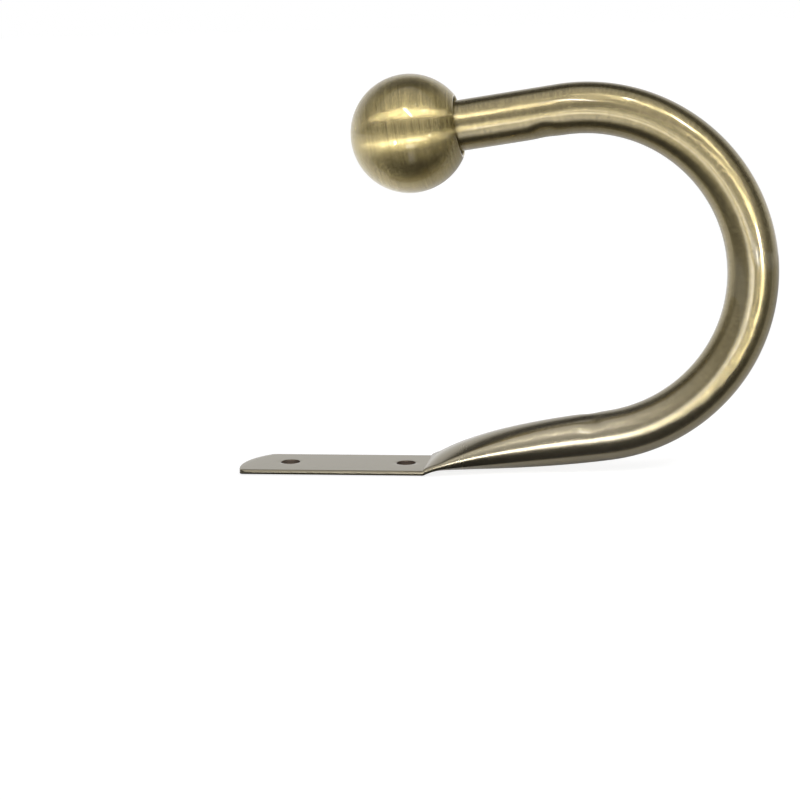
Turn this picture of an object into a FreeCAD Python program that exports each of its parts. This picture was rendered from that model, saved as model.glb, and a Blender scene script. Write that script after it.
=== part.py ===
import FreeCAD, Part
import math
import os

# Sizes in millimetres, angles in degrees

# Steel tube that makes the whole arm
tube_diameter = 16.0
tube_wall = 0.8
bend_radius = 52.5       # bend centre to the middle of the tube
arm_tilt = 8.0           # slope of the ball's arm down towards the ball
arm_length = 48.2        # end of the bend to the ball's centre

# Spoon: the length where the round tube is pressed down to the flat strap
spoon_length = 60.2
spoon_tilt = 8.0         # slope of the tube where the pressing starts
belly_rise = 3.4         # underside of the tube above the wall face where the pressing starts
spoon_fullness = 2.08    # higher keeps the spoon's back rounder towards the strap
spoon_shoulder = 0.78    # lower lifts the spoon's back more steeply off the strap
closed_length = 1.5      # stretch next to the strap where the two walls already touch
spoon_sections = 8
section_crowding = 1.5   # higher brings the sections closer together near the strap
edge_easing = 0.25       # the spoon's pressed edges are this much rounder than the strap's

# Flat strap with its two screw holes
hole_spacing = 38.6
hole_diameter = 6.2
fold_margin = 6.9        # hole nearest the bend to the spoon's fold line
end_margin = 15.6        # outer hole to the tip of the strap
nose_radius = 22.0       # rounded trim of the strap's end
nose_shift = 5.0         # the trim's centre lies this far in front of the middle of the strap
corner_radius = 2.5

# Hollow ball with an open mouth round the tube
ball_diameter = 37.5
ball_wall = 1.2
mouth_gap = 1.2          # open ring between the tube and the ball's mouth
lip_radius = 0.6         # rounding of the mouth's outer edge
tube_entry = 4.0         # how far the tube goes in past the mouth

# Plug and threaded stud that hold the ball on the tube
plug_length = 10.0
plug_chamfer = 0.8
stud_diameter = 6.0
stud_seat = 9.0          # depth of the stud in the ball's post
stud_chamfer = 0.6
fit_clearance = 0.05     # radial room of the plug in the tube and of the stud in its holes

# Places that follow from the sizes
tube_radius = tube_diameter / 2
bore_radius = tube_radius - tube_wall
strap_thickness = 2 * tube_wall
tube_girth = math.pi * tube_diameter
strap_flat = (tube_girth - math.pi * strap_thickness) / 2
strap_width = strap_flat + strap_thickness
fold_x = hole_spacing / 2 + fold_margin
strap_tip = -hole_spacing / 2 - end_margin
spoon_slope = math.radians(spoon_tilt)
spoon_end_x = fold_x + spoon_length
outer_reach = bend_radius + tube_radius
spoon_power = spoon_length * math.tan(spoon_slope) / belly_rise
least_edge = tube_wall + edge_easing
bend_height = belly_rise + outer_reach * math.cos(spoon_slope)
bend_centre = FreeCAD.Vector(spoon_end_x - outer_reach * math.sin(spoon_slope), 0, bend_height)
across = FreeCAD.Vector(0, 1, 0)

arm_slope = math.radians(arm_tilt)
arm_outward = FreeCAD.Vector(-math.cos(arm_slope), 0, -math.sin(arm_slope))
arm_upward = FreeCAD.Vector(-math.sin(arm_slope), 0, math.cos(arm_slope))
arm_start = bend_centre + arm_upward * bend_radius
ball_centre = arm_start + arm_outward * arm_length
ball_place = FreeCAD.Placement(ball_centre, FreeCAD.Rotation(across, 90 - arm_tilt))

ball_radius = ball_diameter / 2
ball_bore = ball_radius - ball_wall
mouth_radius = tube_radius + mouth_gap
mouth_reach = math.sqrt(ball_radius ** 2 - mouth_radius ** 2)
lip_ring = mouth_radius + lip_radius
lip_distance = ball_radius - lip_radius
lip_reach = math.sqrt(lip_distance ** 2 - lip_ring ** 2)
seat_reach = mouth_reach - tube_entry
thread_bore = stud_diameter / 2 + fit_clearance
post_radius = bore_radius + tube_wall / 2


def strap_section():
    # Two walls pressed together: flat faces and fully rounded long edges
    half = strap_thickness / 2
    side = strap_flat / 2
    upper_back = FreeCAD.Vector(fold_x, side, strap_thickness)
    upper_front = FreeCAD.Vector(fold_x, -side, strap_thickness)
    lower_back = FreeCAD.Vector(fold_x, side, 0)
    lower_front = FreeCAD.Vector(fold_x, -side, 0)
    back_edge = FreeCAD.Vector(fold_x, side + half, half)
    front_edge = FreeCAD.Vector(fold_x, -side - half, half)
    return Part.Wire([
        Part.LineSegment(upper_front, upper_back).toShape(),
        Part.Arc(upper_back, back_edge, lower_back).toShape(),
        Part.LineSegment(lower_back, lower_front).toShape(),
        Part.Arc(lower_front, front_edge, upper_front).toShape(),
    ])


def spoon_section(share, inset):
    # Lens of four tangent arcs: the girth of the tube is kept while its height is pressed down
    bottom = FreeCAD.Vector(fold_x + spoon_length * share, 0, belly_rise * share ** spoon_power)
    slope = math.atan(belly_rise * spoon_power * share ** (spoon_power - 1) / spoon_length)
    upward = FreeCAD.Vector(-math.sin(slope), 0, math.cos(slope))
    roundness = 1 - (1 - share ** spoon_shoulder) ** spoon_fullness
    half = tube_wall + bore_radius * roundness
    edge_arc = half ** 2 / tube_radius
    flatness = (1 + tube_radius / half) * math.pi / 2
    if edge_arc < least_edge:
        edge_arc = least_edge
        flatness = (tube_girth / 4 - edge_arc * math.pi / 2) / (half - edge_arc)
    # The faces' half angle solves angle / (1 - cos(angle)) = flatness to the third order
    split = 4 / (flatness + math.sqrt(flatness ** 2 - 4 / 3))
    spread = (half - edge_arc) / (1 - math.cos(split))
    middle = bottom + upward * half
    half = half - inset
    edge_arc = edge_arc - inset
    face_arc = edge_arc + spread
    corner_across = across * (face_arc * math.sin(split))
    corner_up = upward * (half - face_arc * (1 - math.cos(split)))
    top = middle + upward * half
    belly = middle - upward * half
    side = across * (edge_arc + spread * math.sin(split))
    upper_front = middle - corner_across + corner_up
    upper_back = middle + corner_across + corner_up
    lower_front = middle - corner_across - corner_up
    lower_back = middle + corner_across - corner_up
    return Part.Wire([
        Part.Arc(upper_front, top, upper_back).toShape(),
        Part.Arc(upper_back, middle + side, lower_back).toShape(),
        Part.Arc(lower_back, belly, lower_front).toShape(),
        Part.Arc(lower_front, middle - side, upper_front).toShape(),
    ])


def make_spoon():
    wires = [strap_section()]
    for index in range(1, spoon_sections + 1):
        wires.append(spoon_section((index / spoon_sections) ** section_crowding, 0))
    return Part.makeLoft(wires, True, False)


def make_spoon_bore():
    first = closed_length / spoon_length
    wires = []
    for index in range(spoon_sections + 1):
        step = (index / spoon_sections) ** section_crowding
        wires.append(spoon_section(first + (1 - first) * step, tube_wall))
    return Part.makeLoft(wires, True, False)


def make_round_run(radius):
    # Bend and straight arm with the given radius about the tube's middle line
    lower_outward = FreeCAD.Vector(math.sin(spoon_slope), 0, -math.cos(spoon_slope))
    lower_tangent = FreeCAD.Vector(math.cos(spoon_slope), 0, math.sin(spoon_slope))
    lower_end = bend_centre + lower_outward * bend_radius
    disc = Part.Face(Part.Wire(Part.makeCircle(radius, lower_end, lower_tangent)))
    bend_angle = 180 - spoon_tilt + arm_tilt
    bend = disc.revolve(bend_centre, across * -1, bend_angle)
    run = Part.makeCylinder(radius, arm_length - seat_reach, arm_start, arm_outward)
    return bend.fuse(run)


def make_strap():
    strap = Part.Face(strap_section()).extrude(FreeCAD.Vector(strap_tip - fold_x, 0, 0))
    trim_width = strap_width + strap_thickness / 10
    nose_x = strap_tip + nose_radius
    nose = Part.makeCylinder(nose_radius, strap_thickness, FreeCAD.Vector(nose_x, -nose_shift, 0))
    back_corner = FreeCAD.Vector(nose_x, -nose_radius - nose_shift, 0)
    behind = Part.makeBox(fold_x - nose_x, 2 * nose_radius + strap_width, strap_thickness, back_corner)
    corner = FreeCAD.Vector(strap_tip, -trim_width / 2, 0)
    outline = Part.makeBox(fold_x - strap_tip, trim_width, strap_thickness, corner)
    outline = outline.common(nose.fuse(behind)).removeSplitter()
    corners = []
    for edge in outline.Edges:
        start, end = edge.Vertexes[0].Point, edge.Vertexes[-1].Point
        upright = abs(start.x - end.x) + abs(start.y - end.y) < 1e-6
        if upright and start.x < fold_x - 1e-6:
            corners.append(edge)
    outline = outline.makeFillet(corner_radius, corners)
    strap = strap.common(outline)
    for side in (-1, 1):
        start = FreeCAD.Vector(side * hole_spacing / 2, 0, 0)
        strap = strap.cut(Part.makeCylinder(hole_diameter / 2, strap_thickness, start))
    return strap


def make_arm_tube():
    outside = make_round_run(tube_radius).fuse(make_spoon()).fuse(make_strap())
    inside = make_round_run(bore_radius).fuse(make_spoon_bore())
    return outside.cut(inside).removeSplitter()


def make_ball():
    # Half profile in the XZ plane, turned about Z with the mouth upwards
    hole_end = seat_reach - stud_seat - fit_clearance
    middle = FreeCAD.Vector(0, 0, 0)
    pole = FreeCAD.Vector(0, 0, -ball_radius)
    outer_side = FreeCAD.Vector(ball_radius, 0, 0)
    inner_side = FreeCAD.Vector(ball_bore, 0, 0)
    post_foot = FreeCAD.Vector(post_radius, 0, -math.sqrt(ball_bore ** 2 - post_radius ** 2))
    post_top = FreeCAD.Vector(post_radius, 0, seat_reach)
    bore_top = FreeCAD.Vector(thread_bore, 0, seat_reach)
    bore_end = FreeCAD.Vector(thread_bore, 0, hole_end)
    bore_centre = FreeCAD.Vector(0, 0, hole_end)
    # The lip's rounding leaves the ball's round smoothly and ends along the mouth's bore
    lip_centre = FreeCAD.Vector(lip_ring, 0, lip_reach)
    lip_out = lip_centre / lip_distance
    lip_start = lip_out * ball_radius
    lip_top = lip_out - FreeCAD.Vector(1, 0, 0)
    lip_middle = lip_centre + lip_top / lip_top.Length * lip_radius
    lip_end = FreeCAD.Vector(mouth_radius, 0, lip_reach)
    mouth_foot = FreeCAD.Vector(mouth_radius, 0, math.sqrt(ball_bore ** 2 - mouth_radius ** 2))
    profile = Part.Wire([
        Part.Arc(pole, outer_side, lip_start).toShape(),
        Part.Arc(lip_start, lip_middle, lip_end).toShape(),
        Part.LineSegment(lip_end, mouth_foot).toShape(),
        Part.Arc(mouth_foot, inner_side, post_foot).toShape(),
        Part.LineSegment(post_foot, post_top).toShape(),
        Part.LineSegment(post_top, bore_top).toShape(),
        Part.LineSegment(bore_top, bore_end).toShape(),
        Part.LineSegment(bore_end, bore_centre).toShape(),
        Part.LineSegment(bore_centre, pole).toShape(),
    ])
    ball = Part.Face(profile).revolve(middle, FreeCAD.Vector(0, 0, 1), 360)
    ball.Placement = ball_place
    return ball


def make_plug():
    radius = bore_radius - fit_clearance
    start = FreeCAD.Vector(0, 0, seat_reach)
    plug = Part.makeCylinder(radius, plug_length, start)
    inner_end = [edge for edge in plug.Edges if edge.BoundBox.ZMin > seat_reach + plug_length / 2]
    plug = plug.makeChamfer(plug_chamfer, inner_end)
    plug = plug.cut(Part.makeCylinder(thread_bore, plug_length, start))
    plug.Placement = ball_place
    return plug


def make_stud():
    start = FreeCAD.Vector(0, 0, seat_reach - stud_seat)
    stud = Part.makeCylinder(stud_diameter / 2, stud_seat + plug_length, start)
    rims = [edge for edge in stud.Edges if isinstance(edge.Curve, Part.Circle)]
    stud = stud.makeChamfer(stud_chamfer, rims)
    stud.Placement = ball_place
    return stud


os.makedirs("parts", exist_ok=True)
make_arm_tube().exportStep("parts/arm_tube.step")
make_ball().exportStep("parts/ball_finial.step")
make_plug().exportStep("parts/end_plug.step")
make_stud().exportStep("parts/finial_stud.step")
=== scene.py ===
import bmesh
import bpy
import math
from mathutils import Matrix, Vector


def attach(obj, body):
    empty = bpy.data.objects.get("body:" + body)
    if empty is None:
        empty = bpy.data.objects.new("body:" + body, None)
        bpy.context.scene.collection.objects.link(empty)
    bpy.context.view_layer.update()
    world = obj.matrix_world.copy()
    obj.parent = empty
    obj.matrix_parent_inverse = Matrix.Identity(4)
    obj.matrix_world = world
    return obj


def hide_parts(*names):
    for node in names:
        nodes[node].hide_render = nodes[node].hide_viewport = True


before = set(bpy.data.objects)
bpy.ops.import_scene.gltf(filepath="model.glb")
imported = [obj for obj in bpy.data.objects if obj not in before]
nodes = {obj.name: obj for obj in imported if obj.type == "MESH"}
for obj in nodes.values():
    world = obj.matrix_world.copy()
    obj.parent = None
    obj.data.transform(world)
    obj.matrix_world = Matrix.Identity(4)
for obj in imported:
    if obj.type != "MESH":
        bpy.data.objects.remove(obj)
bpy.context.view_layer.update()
mm = 0.001
rightAngle = math.pi / 2
print("frame loaded:", ", ".join(sorted(nodes)))


class Wire:
    # one socket of a node tree that takes part in plain sums
    def __init__(self, tree, socket=None):
        self.tree = tree
        self.socket = socket

    def make(self, kind, settings=None, sockets=None, out=0):
        node = self.tree.nodes.new(kind)
        for name, value in (settings or {}).items():
            if name == "stops":
                setStops(node.color_ramp, value)
            else:
                setattr(node, name, value)
        for key, value in (sockets or {}).items():
            if isinstance(value, Wire):
                self.tree.links.new(value.socket, node.inputs[key])
            else:
                node.inputs[key].default_value = value
        return Wire(self.tree, node.outputs[out] if node.outputs else None)

    def other(self, out):
        return Wire(self.tree, self.socket.node.outputs[out])

    def calc(self, operation, *values):
        return self.make("ShaderNodeMath", {"operation": operation}, dict(enumerate(values)))

    def __add__(self, value):
        return self.calc("ADD", self, value)

    def __radd__(self, value):
        return self.calc("ADD", value, self)

    def __sub__(self, value):
        return self.calc("SUBTRACT", self, value)

    def __rsub__(self, value):
        return self.calc("SUBTRACT", value, self)

    def __mul__(self, value):
        return self.calc("MULTIPLY", self, value)

    def __rmul__(self, value):
        return self.calc("MULTIPLY", value, self)

    def __truediv__(self, value):
        return self.calc("DIVIDE", self, value)

    def __rtruediv__(self, value):
        return self.calc("DIVIDE", value, self)

    def __pow__(self, value):
        return self.calc("POWER", self, value)

    def __lt__(self, value):
        return self.calc("LESS_THAN", self, value)

    def __gt__(self, value):
        return self.calc("GREATER_THAN", self, value)

    def __abs__(self):
        return self.calc("ABSOLUTE", self)

    def sin(self):
        return self.calc("SINE", self)

    def cos(self):
        return self.calc("COSINE", self)

    def root(self):
        return self.calc("SQRT", self)

    def least(self, value):
        return self.calc("MINIMUM", self, value)

    def most(self, value):
        return self.calc("MAXIMUM", self, value)

    def spread(self, low, high, start=0.0, end=1.0, blend="LINEAR"):
        # low..high of this value becomes start..end, held at both ends
        sockets = {0: self, 1: low, 2: high, 3: start, 4: end}
        return self.make("ShaderNodeMapRange", {"interpolation_type": blend}, sockets)


def setStops(ramp, stops):
    while len(ramp.elements) < len(stops):
        ramp.elements.new(1.0)
    for element, (place, shade) in zip(ramp.elements, stops):
        element.position = place
        element.color = (*shade, 1.0)


def newMaterial(name):
    material = bpy.data.materials.new(name)
    material.use_nodes = True
    material.node_tree.nodes.clear()
    return material, Wire(material.node_tree)


def mixColours(start, factor, first, second):
    sockets = {0: factor, 6: first, 7: second}
    return start.make("ShaderNodeMix", {"data_type": "RGBA"}, sockets, 2)


def finishMaterial(start, surface):
    start.make("ShaderNodeOutputMaterial", {}, {"Surface": surface})


# brass with clear lacquer: the metal is brushed, the lacquer over it is smooth
brassFinish = {
    "dark": (0.23, 0.187, 0.090, 1.0),
    "light": (0.39, 0.324, 0.170, 1.0),
    "blotchScale": 42.0,        # per metre, cloudy tone
    "blotchTone": 0.5,
    "blotchNoise": {"Detail": 3.0, "Roughness": 0.55},
    "streakRange": (0.3, 0.7),  # of the noise, becomes 0 to 1
    "roughness": 0.25,
    "roughSpread": 0.035,
    "lacquer": 0.65,
    "lacquerRoughness": 0.035,
    "lacquerIndex": 1.5,
}


def brushedNormal(start, axis, tilt):
    # the walls of the fine brush lines lean to and fro along the axis that the lines run round
    outward = start.make("ShaderNodeNewGeometry", {}, {}, "Normal")
    axis = start.make("ShaderNodeVectorTransform", {
        "vector_type": "VECTOR", "convert_from": "OBJECT", "convert_to": "WORLD"}, {0: axis})
    lean = start.make("ShaderNodeVectorMath", {"operation": "SCALE"}, {0: axis, "Scale": tilt})
    whole = start.make("ShaderNodeVectorMath", {"operation": "ADD"}, {0: outward, 1: lean})
    return start.make("ShaderNodeVectorMath", {"operation": "NORMALIZE"}, {0: whole})


def screwHoleShade(start, place, finish):
    # 1 on the walls of the two screw holes, where their shade is painted dark
    spot = start.make("ShaderNodeSeparateXYZ", {}, {0: place})
    beside = abs(spot) - armSize["holeSpacing"] * 0.5
    away = (beside * beside + spot.other("Y") ** 2.0).root()
    near = away < armSize["holeRadius"] + finish["holeShadeReach"]
    return near * (spot.other("Z") < finish["holeShadeTop"])


def alongTube(start):
    return start.make("ShaderNodeAttribute", {"attribute_name": "along"}, {}, "Fac")


def pressedShares(start, finish):
    # the brass is painted greyer from the strap into the bend, a painted sheen of the pale background, and
    # it is duller on the strap
    along = alongTube(start)
    spoonStart = armSize["foldPlace"] - armSize["tipPlace"]
    bendStart = spoonStart + armSize["spoonLength"]
    pressed = along.spread(bendStart, bendStart + finish["pressedFade"], finish["pressedShare"], 0.0)
    dull = along.spread(spoonStart, spoonStart + finish["dullFade"], 1.0, 0.0)
    return pressed, dull


def lacqueredBrass(name, finish, brush):
    # brush gives the axis that its lines run round, the lean of the fine lines and wider streaks
    material, start = newMaterial(name)
    place = start.make("ShaderNodeTexCoord", {}, {}, "Object")
    cloud = start.make("ShaderNodeTexNoise", {}, {
        "Vector": place, "Scale": finish["blotchScale"], **finish["blotchNoise"]}, 0)
    axis, lean, streak = brush(start, place)
    streak = streak.spread(*finish["streakRange"])
    tone = (cloud - 0.5) * finish["blotchTone"] + (streak - 0.5) * finish["streakTone"] + 0.5
    colour = mixColours(start, tone.spread(0.0, 1.0), finish["dark"], finish["light"])
    roughness = finish["roughness"] + (streak - 0.5) * finish["roughSpread"]
    if "pressed" in finish:
        pressed, dull = pressedShares(start, finish)
        # painted sheen: the greyer brass colour stands in for the pale background's reflection
        colour = mixColours(start, pressed, colour, finish["pressed"])
        # painted shade: the screw holes' walls are painted dark brown
        colour = mixColours(start, screwHoleShade(start, place, finish), colour, finish["cut"])
        roughness = roughness + dull * finish["pressedRoughness"]
    skin = start.make("ShaderNodeBsdfPrincipled", {}, {
        "Base Color": colour,
        "Metallic": 1.0,
        "Roughness": roughness,
        "Normal": brushedNormal(start, axis, lean),
        "Coat Weight": finish["lacquer"],
        "Coat Roughness": finish["lacquerRoughness"],
        "Coat IOR": finish["lacquerIndex"],
    })
    finishMaterial(start, skin)
    return material


brushNoise = {"Detail": 2.0, "Roughness": 0.7}

# brush lines of the tube run round it, so they are fine along it
tubeBrush = {
    **brassFinish,
    "lineScales": (40000.0, 3000.0),    # per metre along and round the tube
    "streakScales": (2000.0, 300.0),
    "streakTone": 0.60,
    "brushTilt": 2.8,
    "pressedTilt": 0.25,        # share of the tilt that is left on the pressed strap
    # painted sheen: a greyer brass painted on the strap and into the bend, for the pale background's
    # reflection
    "pressed": (0.38, 0.34, 0.25, 1.0),
    "pressedShare": 0.75,
    "pressedFade": 50.0 * mm,   # into the bend
    "pressedRoughness": 0.15,
    "dullFade": 15.0 * mm,      # into the spoon
    # painted shade for the walls of the screw holes
    "cut": (0.13, 0.095, 0.070, 1.0),
    "holeShadeReach": 0.12 * mm,      # beyond the walls of the screw holes
    "holeShadeTop": 5.0 * mm,
}


def brushTube(start, place):
    along = alongTube(start)

    def noise(fine, cross):
        return start.make("ShaderNodeTexNoise", {"noise_dimensions": "4D"}, {
            "Vector": place, "W": along * (fine / cross), "Scale": cross, **brushNoise}, 0)

    streak = noise(*tubeBrush["streakScales"])
    lean = (noise(*tubeBrush["lineScales"]) - 0.5) * tubeBrush["brushTilt"]
    spoonStart = armSize["foldPlace"] - armSize["tipPlace"]
    bendStart = spoonStart + armSize["spoonLength"]
    lean = lean * along.spread(spoonStart, bendStart, tubeBrush["pressedTilt"], 1.0)
    turn = start.make("ShaderNodeAttribute", {"attribute_name": "lean"}, {}, "Fac")
    axis = start.make("ShaderNodeCombineXYZ", {}, {0: turn.cos(), 2: turn.sin()})
    return axis, lean, streak


# brush lines of the ball run round the arm's axis
ballBrush = {
    **brassFinish,
    "dark": (0.33, 0.264, 0.112, 1.0),
    "light": (0.55, 0.450, 0.205, 1.0),
    "lineScales": (40000.0, 1000.0),    # per metre along and round the axis
    "streakScales": (2200.0, 40.0),
    "streakTone": 0.75,
    "brushTilt": 4.5,
}


def turnedPlace(start, place, fine, cross):
    # the arm's axis becomes Z at the ball's centre, then each direction gets its own scale
    turned = start.make("ShaderNodeMapping", {"vector_type": "TEXTURE"}, {
        "Vector": place, "Location": ballCentre, "Rotation": (0.0, rightAngle - armTilt, 0.0)})
    scales = (cross, cross, fine)
    return start.make("ShaderNodeVectorMath", {"operation": "MULTIPLY"}, {0: turned, 1: scales})


def brushBall(start, place):
    def noise(fine, cross):
        return start.make("ShaderNodeTexNoise", {}, {
            "Vector": turnedPlace(start, place, fine, cross), "Scale": 1.0, **brushNoise}, 0)

    streak = noise(*ballBrush["streakScales"])
    lean = (noise(*ballBrush["lineScales"]) - 0.5) * ballBrush["brushTilt"]
    axis = start.make("ShaderNodeCombineXYZ", {}, {0: armOutward.x, 2: armOutward.z})
    return axis, lean, streak


steelFinish = {
    "dark": (0.42, 0.42, 0.43, 1.0),
    "light": (0.66, 0.66, 0.67, 1.0),
    "lineScales": (900.0, 60.0),        # per metre along and round the axis
    "lineStrength": 0.4,
    "lineDepth": 0.05 * mm,
    "roughness": 0.32,
    "roughSpread": 0.2,
}


def turnedSteel(name):
    material, start = newMaterial(name)
    place = start.make("ShaderNodeTexCoord", {}, {}, "Object")
    lines = start.make("ShaderNodeTexNoise", {}, {
        "Vector": turnedPlace(start, place, *steelFinish["lineScales"]), "Scale": 1.0, "Detail": 2.0}, 0)
    colour = mixColours(start, lines, steelFinish["dark"], steelFinish["light"])
    bump = start.make("ShaderNodeBump", {}, {
        "Strength": steelFinish["lineStrength"], "Distance": steelFinish["lineDepth"], "Height": lines})
    skin = start.make("ShaderNodeBsdfPrincipled", {}, {
        "Base Color": colour, "Metallic": 1.0, "Normal": bump,
        "Roughness": steelFinish["roughness"] + (lines - 0.5) * steelFinish["roughSpread"]})
    finishMaterial(start, skin)
    return material


# the bent tube with its pressed strap, in metres
armSize = {
    "tubeRadius": 8.0 * mm,
    "tubeWall": 0.8 * mm,
    "bendRadius": 52.5 * mm,
    "bendAngle": math.radians(180.0),
    "armRun": 35.86224 * mm,
    "spoonLength": 60.2 * mm,
    "bellyRise": 3.4 * mm,
    "spoonTilt": math.radians(8.0),
    "spoonFullness": 2.08,
    "spoonShoulder": 0.78,
    "edgeEasing": 0.25 * mm,
    "foldPlace": 26.2 * mm,
    "tipPlace": -34.9 * mm,
    "noseRadius": 22.0 * mm,
    "noseShift": 5.0 * mm,
    "cornerRadius": 2.5 * mm,
    "holeSpacing": 38.6 * mm,
    "holeRadius": 3.1 * mm,
    "edgeRound": 0.22 * mm,
    "seamDepth": 0.5 * mm,
    "dentDepth": 0.7 * mm,
    "dentLength": 3.2 * mm,
    "dentPlace": 55.5 * mm,     # from the fold to the dent on the spoon
    "runDentPlace": 5.5 * mm,   # from the end of the bend to the dent on the arm
}
dentShape = {"pole": 0.35, "flank": 4.0}    # depth on the inner line, and what is added beside it
armRows = {
    "seam": 1, "inner": 4, "face": 1, "outer": 4,
    "strap": 26, "spoon": 110, "bend": 190, "arm": 40, "cap": 1}
armAround = 112
spoonCrowding = 1.6     # rows stand closer near the fold
edgeSlack = 0.02 * mm   # by which the edge arc stays under half the height
mergeReach = 0.0005 * mm
sharpFrom = {"armTube": 50.0, "ballFinial": 40.0}   # degrees between faces
armTilt = math.radians(8.0)
armLength = 48.2 * mm   # from the end of the bend to the ball's centre


def leaned(angle):
    return Vector((-math.sin(angle), 0.0, math.cos(angle)))


outerReach = armSize["bendRadius"] + armSize["tubeRadius"]
bendCentre = Vector((armSize["foldPlace"] + armSize["spoonLength"], 0.0, armSize["bellyRise"]))
bendCentre = bendCentre + leaned(armSize["spoonTilt"]) * outerReach
armOutward = Vector((-math.cos(armTilt), 0.0, -math.sin(armTilt)))
ballCentre = bendCentre + leaned(armTilt) * armSize["bendRadius"]
ballCentre = ballCentre + armOutward * armLength


def sizeInputs(tree, sizes):
    for name, value in sizes.items():
        tree.interface.new_socket(name, in_out="INPUT", socket_type="NodeSocketFloat").default_value = value
    tree.interface.new_socket("Geometry", in_out="OUTPUT", socket_type="NodeSocketGeometry")
    entry = Wire(tree).make("NodeGroupInput")
    return {name: entry.other(name) for name in sizes}


def strapTip(size, sideways):
    # where the trimmed end of the strap lies for each place across it: a wide arc with small corners
    halfWidth = (size["tubeRadius"] - size["tubeWall"]) * rightAngle + size["tubeWall"]
    cornerPlace = halfWidth - size["cornerRadius"]
    noseCentre = size["tipPlace"] + size["noseRadius"]
    reach = size["noseRadius"] - size["cornerRadius"]

    def fromCircle(centre, radius, offset):
        return centre - (radius * radius - offset * offset).most(0.0).root()

    nose = fromCircle(noseCentre, size["noseRadius"], sideways + size["noseShift"])
    line = nose
    for side in (-1.0, 1.0):
        offset = cornerPlace * side + size["noseShift"]
        cornerCentre = fromCircle(noseCentre, reach, offset)
        meeting = offset * size["noseRadius"] / reach - size["noseShift"]
        corner = fromCircle(cornerCentre, size["cornerRadius"], sideways - cornerPlace * side)
        beyond = (sideways - meeting) * side > 0.0
        line = line + beyond * (corner - nose)
    return line


holePunch = {
    "around": 72,
    "steps": 64,
    "depth": 2.6,               # in walls of the tube
    "grooveHalf": 0.12 * mm,
    "grooveSlope": 1.5,
}


def holeCutters(start, size):
    # turned punches for the two screw holes, with rounded rims and a groove between the two walls
    turn = start.make("GeometryNodeMeshCylinder", {"fill_type": "NGON"}, {
        "Vertices": holePunch["around"], "Side Segments": holePunch["steps"],
        "Radius": 1.0, "Depth": 1.0}, "Mesh")
    spot = start.make("ShaderNodeSeparateXYZ", {}, {0: start.make("GeometryNodeInputPosition")})
    height = spot.other("Z") * (size["tubeWall"] * holePunch["depth"])
    away = abs(height)
    rim = (away - size["tubeWall"] + size["edgeRound"]).most(0.0).least(size["edgeRound"])
    radius = size["holeRadius"] + size["edgeRound"]
    radius = radius - (size["edgeRound"] * size["edgeRound"] - rim * rim).root()
    radius = radius + (holePunch["grooveHalf"] - away).most(0.0) * holePunch["grooveSlope"]
    place = start.make("ShaderNodeCombineXYZ", {}, {
        0: spot.other("X") * radius, 1: spot.other("Y") * radius, 2: height + size["tubeWall"]})
    punch = start.make("GeometryNodeSetPosition", {}, {"Geometry": turn, "Position": place})
    first = start.make("ShaderNodeCombineXYZ", {}, {0: size["holeSpacing"] * -0.5})
    step = start.make("ShaderNodeCombineXYZ", {}, {0: size["holeSpacing"]})
    pair = start.make("GeometryNodeMeshLine", {"mode": "OFFSET"}, {
        "Count": 2, "Start Location": first, "Offset": step})
    punches = start.make("GeometryNodeInstanceOnPoints", {}, {"Points": pair, "Instance": punch})
    return start.make("GeometryNodeRealizeInstances", {}, {"Geometry": punches})


def bulge(angle):
    # 1 - cos, without its loss of digits at small angles
    return (angle * 0.5).sin() ** 2.0 * 2.0


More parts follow.
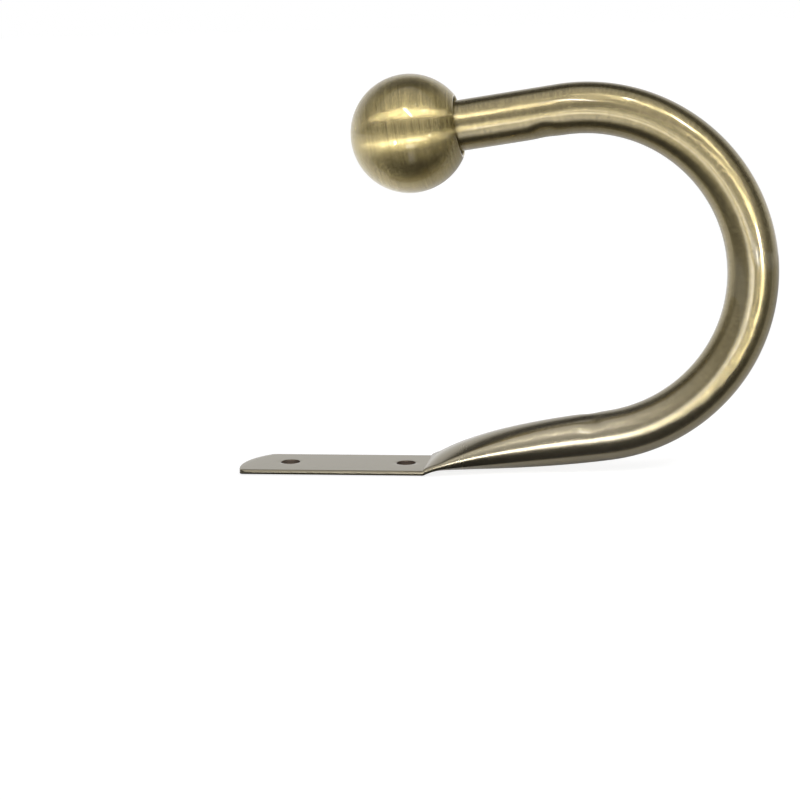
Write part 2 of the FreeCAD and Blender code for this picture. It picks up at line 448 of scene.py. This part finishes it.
def armSweep(material):
    # the tube's section is carried along its middle line and pressed flat on the way to the strap
    tree = bpy.data.node_groups.new("armSweep", "GeometryNodeTree")
    size = sizeInputs(tree, armSize)
    start = Wire(tree)
    total = sum(armRows.values())
    grid = start.make("GeometryNodeMeshGrid", {}, {
        "Size X": 1.0, "Size Y": 1.0, "Vertices X": total + 1, "Vertices Y": armAround + 1}, "Mesh")
    spot = start.make("ShaderNodeSeparateXYZ", {}, {0: start.make("GeometryNodeInputPosition")})
    row = (spot.other("X") + 0.5) * total
    turn = spot.other("Y") + 0.5
    share = {}
    passed = 0
    for name, count in armRows.items():
        share[name] = row.spread(passed, passed + count)
        passed += count

    # cut end of the two walls: a dark seam between them and softened edges
    wall = size["tubeWall"]
    soft = size["edgeRound"]
    innerTurn = share["inner"] * rightAngle
    outerTurn = share["outer"] * rightAngle
    inset = (1.0 - share["seam"]) * size["seamDepth"]
    inset = inset + soft * (1.0 - innerTurn.sin()) + soft * (1.0 - outerTurn.cos())
    rise = soft * (1.0 - innerTurn.cos()) + (wall - soft * 2.0) * share["face"] + soft * outerTurn.sin()

    # pressed section: a lens of four tangent arcs that keeps the girth of the tube
    spoon = share["spoon"] ** spoonCrowding
    tilt = size["spoonTilt"]
    spoonPower = size["spoonLength"] * tilt.calc("TANGENT", tilt) / size["bellyRise"]
    steep = size["bellyRise"] * spoonPower * spoon ** (spoonPower - 1.0) / size["spoonLength"]
    slope = steep.calc("ARCTANGENT", steep)
    roundness = 1.0 - (1.0 - spoon ** size["spoonShoulder"]) ** size["spoonFullness"]
    half = wall + (size["tubeRadius"] - wall) * roundness
    quarterGirth = size["tubeRadius"] * rightAngle
    leastEdge = (wall + size["edgeEasing"]).least(half - edgeSlack)
    edgeArc = leastEdge.most(half * half / size["tubeRadius"])
    flatness = (quarterGirth - leastEdge * rightAngle) / (half - leastEdge)
    flatness = flatness.most((1.0 + size["tubeRadius"] / half) * rightAngle)
    split = 4.0 / (flatness + (flatness * flatness - 4.0 / 3.0).root())
    wider = (half - edgeArc) / bulge(split)
    faceArc = edgeArc + wider
    folded = (turn * 2.0).calc("FRACT", turn * 2.0)
    girth = (1.0 - abs(folded * 2.0 - 1.0)) * quarterGirth
    faceTurn = (girth / faceArc).least(split)
    normalTurn = faceTurn + (girth - faceArc * split).most(0.0) / edgeArc
    upper = abs(turn - 0.5) < 0.25
    sideways = edgeArc * normalTurn.sin() + wider * faceTurn.sin()
    sideways = sideways * ((turn > 0.5) * 2.0 - 1.0)
    lift = edgeArc * normalTurn.cos() + wider * (bulge(split) - bulge(faceTurn))

    # place along the tube, and the soft dents that the bending tool left on its inner side
    bendLength = size["bendRadius"] * size["bendAngle"]
    along = share["strap"] * (size["foldPlace"] - size["tipPlace"]) + spoon * size["spoonLength"]
    along = along + share["bend"] * bendLength + share["arm"] * size["armRun"]
    bendStart = size["foldPlace"] - size["tipPlace"] + size["spoonLength"]
    dent = 0.0
    spoonDent = size["foldPlace"] - size["tipPlace"] + size["dentPlace"]
    for centre in (spoonDent, bendStart + bendLength + size["runDentPlace"]):
        distance = (along - centre) / size["dentLength"]
        dent = (distance * distance * -1.0).calc("EXPONENT", distance * distance * -1.0) + dent
    inward = (lift / half) ** 2.0
    dent = dent * size["dentDepth"] * upper * inward
    lift = lift - dent * (dentShape["pole"] + dentShape["flank"] - inward * dentShape["flank"])
    lift = lift * (upper * 2.0 - 1.0) * rise / wall
    uncapped = 1.0 - share["cap"]
    lift = lift * uncapped

    # middle line: strap, spoon, round bend, straight arm
    lean = slope + size["bendAngle"] * share["bend"]
    middleX = size["foldPlace"] + size["spoonLength"] * spoon - slope.sin() * half
    middleX = middleX + size["bendRadius"] * (lean.sin() - slope.sin())
    middleX = middleX + lean.cos() * size["armRun"] * share["arm"]
    middleZ = size["bellyRise"] * spoon ** spoonPower + slope.cos() * half
    middleZ = middleZ - size["bendRadius"] * (lean.cos() - slope.cos())
    middleZ = middleZ + lean.sin() * size["armRun"] * share["arm"]
    placeX = middleX - lean.sin() * lift
    placeX = placeX - (1.0 - share["strap"]) * (size["foldPlace"] - strapTip(size, sideways) - inset)
    place = start.make("ShaderNodeCombineXYZ", {}, {
        0: placeX, 1: sideways * uncapped, 2: middleZ + lean.cos() * lift})

    named = start.make("GeometryNodeStoreNamedAttribute", {"data_type": "FLOAT", "domain": "POINT"}, {
        "Geometry": grid, "Name": "along", "Value": along})
    named = start.make("GeometryNodeStoreNamedAttribute", {"data_type": "FLOAT", "domain": "POINT"}, {
        "Geometry": named, "Name": "lean", "Value": lean})
    skin = start.make("GeometryNodeSetPosition", {}, {"Geometry": named, "Position": place})
    skin = start.make("GeometryNodeMergeByDistance", {}, {"Geometry": skin, "Distance": mergeReach})
    cut = start.make("GeometryNodeMeshBoolean", {"operation": "DIFFERENCE", "solver": "EXACT"}, {
        "Mesh 1": skin, "Mesh 2": holeCutters(start, size)})
    smooth = start.make("GeometryNodeSetShadeSmooth", {}, {"Geometry": cut, "Shade Smooth": True})
    whole = start.make("GeometryNodeRealizeInstances", {}, {"Geometry": smooth})
    dressed = start.make("GeometryNodeSetMaterial", {}, {"Geometry": whole, "Material": material})
    start.make("NodeGroupOutput", {}, {"Geometry": dressed})
    return tree


def meshFromTree(name, tree, sizes):
    carrier = bpy.data.objects.new(name + "Carrier", bpy.data.meshes.new(name + "Carrier"))
    bpy.context.scene.collection.objects.link(carrier)
    modifier = carrier.modifiers.new("sweep", "NODES")
    modifier.node_group = tree
    for item in tree.interface.items_tree:
        if item.in_out == "INPUT":
            modifier[item.identifier] = sizes[item.name]
    graph = bpy.context.evaluated_depsgraph_get()
    mesh = bpy.data.meshes.new_from_object(carrier.evaluated_get(graph), depsgraph=graph)
    bpy.data.objects.remove(carrier)
    mesh.name = name
    return addPiece(name, mesh)


def addPiece(name, mesh):
    piece = bpy.data.objects.new(name, mesh)
    bpy.context.scene.collection.objects.link(piece)
    return piece


def solidVolume(mesh):
    shape = bmesh.new()
    shape.from_mesh(mesh)
    volume = shape.calc_volume(signed=True)
    openEdges = sum(1 for edge in shape.edges if not edge.is_manifold)
    shape.free()
    return volume, openEdges


# hollow ball, turned about the arm's axis: heights count towards the tube
ballSize = {
    "radius": 18.75 * mm,
    "wall": 1.2 * mm,
    "mouthRadius": 9.2 * mm,
    "lipRadius": 0.6 * mm,
    "tubeEntry": 4.0 * mm,
    "postRadius": 7.6 * mm,
    "arcSteps": 110,
    "lipSteps": 14,
    "around": 192,
}


def ballProfile(size):
    # radius and height pairs from the far pole over the outside, round the lip and back inside to the seat
    mouth = size["mouthRadius"]
    lip = size["lipRadius"]
    inner = size["radius"] - size["wall"]
    lipTurn = math.acos((mouth + lip) / (size["radius"] - lip))
    lipHeight = (size["radius"] - lip) * math.sin(lipTurn)
    innerStart = math.acos(mouth / inner)
    innerEnd = -math.acos(size["postRadius"] / inner)
    seat = math.sqrt(size["radius"] ** 2 - mouth ** 2) - size["tubeEntry"]

    def arc(ring, height, radius, first, last, steps):
        turns = [first + (last - first) * step / steps for step in range(steps + 1)]
        return [(ring + radius * math.cos(turn), height + radius * math.sin(turn)) for turn in turns]

    points = arc(0.0, 0.0, size["radius"], -rightAngle, lipTurn, size["arcSteps"])
    points += arc(mouth + lip, lipHeight, lip, lipTurn, math.pi, size["lipSteps"])[1:]
    points += arc(0.0, 0.0, inner, innerStart, innerEnd, size["arcSteps"] // 3)
    points += [(size["postRadius"], seat), (0.0, seat)]
    return points


def turnProfile(name, points, around):
    # a closed shape turned about the local Z axis: the first and last points lie on the axis
    shape = bmesh.new()
    rings = []
    for radius, height in points:
        if radius < mergeReach:
            rings.append([shape.verts.new((0.0, 0.0, height))])
            continue
        turns = [math.tau * step / around for step in range(around)]
        rings.append([shape.verts.new((radius * math.cos(t), radius * math.sin(t), height)) for t in turns])
    for lower, upper in zip(rings, rings[1:]):
        for step in range(around):
            after = (step + 1) % around
            corners = [lower[step % len(lower)], lower[after % len(lower)]]
            corners += [upper[after % len(upper)], upper[step % len(upper)]]
            shape.faces.new(list(dict.fromkeys(corners)))
    bmesh.ops.recalc_face_normals(shape, faces=shape.faces)
    mesh = bpy.data.meshes.new(name)
    shape.to_mesh(mesh)
    shape.free()
    return mesh


def softShade(mesh, limit):
    mesh.shade_smooth()
    mesh.set_sharp_from_angle(angle=math.radians(limit))


tubeBrass = lacqueredBrass("lacqueredBrass", tubeBrush, brushTube)
armTube = meshFromTree("armTube", armSweep(tubeBrass), armSize)
softShade(armTube.data, sharpFrom["armTube"])
print("arm tube:", len(armTube.data.polygons), "faces, volume and open edges", solidVolume(armTube.data))
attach(armTube, "root")
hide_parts("arm_tube")

ballBrass = lacqueredBrass("brushedBrass", ballBrush, brushBall)
ballMesh = turnProfile("ballFinial", ballProfile(ballSize), ballSize["around"])
ballMesh.transform(Matrix.Translation(ballCentre) @ Matrix.Rotation(rightAngle - armTilt, 4, "Y"))
ballMesh.materials.append(ballBrass)
softShade(ballMesh, sharpFrom["ballFinial"])
ballFinial = addPiece("ballFinial", ballMesh)
print("ball:", len(ballMesh.polygons), "faces, volume and open edges", solidVolume(ballMesh))
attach(ballFinial, "root")
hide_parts("ball_finial")

steel = turnedSteel("turnedSteel")
for name in ("end_plug", "finial_stud"):
    nodes[name].data.materials.clear()
    nodes[name].data.materials.append(steel)
print("steel on the plug and the stud")

# studio: a pale floor, two cards of painted floor shade that only reflections see, a room that is light in
# front and white behind, and small lamps
studio = {
    "floorHalf": 60.0,
    "floorDrop": 0.3 * mm,
    "floorColour": (0.40, 0.40, 0.40, 1.0),
    "floorGlow": 0.82,
    "cardRight": 0.8,
    # painted floor shade seen only in reflections: its tone at places from front to back
    "frontFloorShade": {
        "fade": (-0.20, -0.08),
        "shades": ((-0.75, 0.5), (-0.30, 0.32), (-0.12, 0.12), (-0.03, 0.07), (-0.008, 0.07))},
    "backFloorShade": {
        "fade": (-0.06, 0.09),
        "shades": ((-0.008, 0.62), (0.8, 0.75))},
}


def seenRays(start):
    rays = start.make("ShaderNodeLightPath", {}, {}, "Is Camera Ray")
    return rays.most(rays.other("Is Glossy Ray")).most(rays.other("Is Transmission Ray"))


def paleFloor():
    half = studio["floorHalf"]
    low = -studio["floorDrop"]
    mesh = bpy.data.meshes.new("floor")
    corners = [(-half, -half, low), (half, -half, low), (half, half, low), (-half, half, low)]
    mesh.from_pydata(corners, [], [(0, 1, 2, 3)])
    material, start = newMaterial("paleFloor")
    matt = start.make("ShaderNodeBsdfDiffuse", {}, {"Color": studio["floorColour"]})
    glow = start.make("ShaderNodeEmission", {}, {"Strength": seenRays(start) * studio["floorGlow"]})
    finishMaterial(start, start.make("ShaderNodeAddShader", {}, {0: matt, 1: glow}))
    mesh.materials.append(material)
    floor = addPiece("floor", mesh)


def floorShadeCard(name):
    # a card of painted floor shade on the floor that only reflections see: toned from front to back and
    # faded to the left
    card = studio[name]
    left, right = card["fade"][0], studio["cardRight"]
    front, back = card["shades"][0][0], card["shades"][-1][0]
    low = studio["floorDrop"] * -0.5
    mesh = bpy.data.meshes.new(name)
    corners = [(left, front, low), (right, front, low), (right, back, low), (left, back, low)]
    mesh.from_pydata(corners, [], [(0, 1, 2, 3)])
    material, start = newMaterial(name)
    spot = start.make("ShaderNodeSeparateXYZ", {}, {0: start.make("ShaderNodeTexCoord", {}, {}, "Object")})
    stops = [((place - front) / (back - front), (shade, shade, shade)) for place, shade in card["shades"]]
    shade = start.make("ShaderNodeValToRGB", {"stops": stops}, {0: spot.other("Y").spread(front, back)})
    matt = start.make("ShaderNodeBsdfDiffuse", {}, {"Color": shade})
    clear = start.make("ShaderNodeBsdfTransparent")
    faded = spot.spread(*card["fade"], blend="SMOOTHSTEP")
    finishMaterial(start, start.make("ShaderNodeMixShader", {}, {0: faded, 1: clear, 2: matt}))
    mesh.materials.append(material)
    card = addPiece(name, mesh)
    card.visible_camera = False
    card.visible_diffuse = False
    card.visible_shadow = False


# lights in front and overhead, a white wall behind and a dim gap all round between them
sky = {
    "sideways": 0.45,           # the gap bows forward to both sides
    "upward": -0.2,             # and leans back overhead
    "shift": -0.27,
    "front": 0.5,
    "overhead": 1.0,
    "frontHeights": (0.3, 1.0),
    "frontEdge": (-0.26, -0.1),
    "gap": 0.08,
    "back": 1.0,
    "backHigh": 0.75,
    "backHeights": (0.06, 0.3),
    "backEdge": (0.28, 0.55),
}


def studioSky():
    world = bpy.data.worlds.new("studioSky")
    world.use_nodes = True
    world.node_tree.nodes.clear()
    start = Wire(world.node_tree)
    look = start.make("ShaderNodeTexCoord", {}, {}, "Generated")
    look = start.make("ShaderNodeSeparateXYZ", {}, {0: look})
    height = look.other("Z")
    depth = look.other("Y") + abs(look) * sky["sideways"] + height * sky["upward"] + sky["shift"]
    front = height.spread(*sky["frontHeights"], sky["front"], sky["overhead"])
    front = front * depth.spread(*sky["frontEdge"], 1.0, 0.0, "SMOOTHSTEP")
    back = height.spread(*sky["backHeights"], sky["back"], sky["backHigh"])
    back = back * depth.spread(*sky["backEdge"], blend="SMOOTHSTEP")
    glow = (front + back).most(sky["gap"])
    light = start.make("ShaderNodeBackground", {}, {"Color": glow, "Strength": 1.0})
    start.make("ShaderNodeOutputWorld", {}, {"Surface": light})
    bpy.context.scene.world = world


# each lamp's long side runs in the "along" direction; a narrow spread is a grid in front of the lamp
lamps = {
    "ballKey": {
        "from": (0.036, -0.18, 0.28), "at": (0.023, 0.0, 0.109), "along": (0.25, -0.15, -0.19),
        "size": (0.125, 0.009), "spread": 28.0, "power": 0.0120},
    "ballGlint": {
        "from": (-0.060, -0.229, 0.053), "at": (0.023, 0.0, 0.109), "along": (0.0, 0.0, 1.0),
        "size": (0.022, 0.010), "spread": 24.0, "power": 0.0036},
    "armTop": {
        "from": (0.40, -0.39, 0.89), "at": (0.26, 0.0, 0.12), "along": (1.0, 0.0, 0.0),
        "size": (0.3, 0.10), "spread": 13.0, "power": 0.034},
    "armSide": {
        "from": (0.55, -0.48, 0.71), "at": (0.14, 0.0, 0.08), "along": (0.0, 0.0, 1.0),
        "size": (0.20, 0.08), "spread": 15.0, "power": 0.02},
    "armRight": {
        "from": (0.491, -0.415, 0.06), "at": (0.125, 0.0, 0.045), "along": (0.0, 0.0, 1.0),
        "size": (0.12, 0.07), "spread": 18.0, "power": 0.02},
    "armBelow": {
        "from": (0.27, -0.47, 0.02), "at": (0.085, 0.0, 0.02), "along": (1.0, 0.0, 0.0),
        "size": (0.10, 0.03), "spread": 14.0, "power": 0.006},
    "armFront": {
        "from": (0.22, -0.47, 0.03), "at": (0.1, 0.0, 0.06), "along": (1.0, 0.0, 0.0),
        "size": (0.36, 0.03), "spread": 180.0, "power": 0.27},
    "armLow": {
        "from": (0.085, -0.24, 0.012), "at": (0.085, 0.0, 0.07), "along": (1.0, 0.0, 0.0),
        "size": (0.12, 0.05), "spread": 50.0, "power": 0.015},
    "runLow": {
        "from": (0.075, -0.085, 0.036), "at": (0.078, 0.0, 0.112), "along": (1.0, 0.0, 0.0),
        "size": (0.09, 0.07), "spread": 40.0, "power": 0.0034},
    "spoonLine": {
        "from": (0.0375, -0.045, 0.004), "at": (0.0375, 0.0, 0.006), "along": (1.0, 0.0, 0.0),
        "size": (0.145, 0.006), "spread": 60.0, "power": 0.0018},
}


def addLamp(name, lamp):
    light = bpy.data.lights.new(name, "AREA")
    light.shape = "RECTANGLE"
    light.size, light.size_y = lamp["size"]
    light.energy = lamp["power"]
    light.spread = math.radians(lamp["spread"])
    holder = bpy.data.objects.new(name, light)
    holder.location = lamp["from"]
    back = (Vector(lamp["from"]) - Vector(lamp["at"])).normalized()
    upward = back.cross(Vector(lamp["along"])).normalized()
    holder.rotation_mode = "QUATERNION"
    holder.rotation_quaternion = Matrix((upward.cross(back), upward, back)).transposed().to_quaternion()
    bpy.context.scene.collection.objects.link(holder)


paleFloor()
floorShadeCard("frontFloorShade")
floorShadeCard("backFloorShade")
studioSky()
for name, lamp in lamps.items():
    addLamp(name, lamp)
print("studio set")

# the photograph's view
cameraView = {
    "place": (107.04 * mm, -598.22 * mm, 142.58 * mm),
    "turn": (78.7736, 1.3958, 8.2110),      # degrees about X, Y and Z
    "lens": 85.17,
    "sensor": 36.0,
}
cameraData = bpy.data.cameras.new("camera")
cameraData.lens = cameraView["lens"]
cameraData.sensor_width = cameraView["sensor"]
camera = bpy.data.objects.new("camera", cameraData)
camera.location = cameraView["place"]
camera.rotation_euler = [math.radians(angle) for angle in cameraView["turn"]]
bpy.context.scene.collection.objects.link(camera)
bpy.context.scene.camera = camera
bpy.context.scene.view_settings.view_transform = "Standard"
print("camera set")
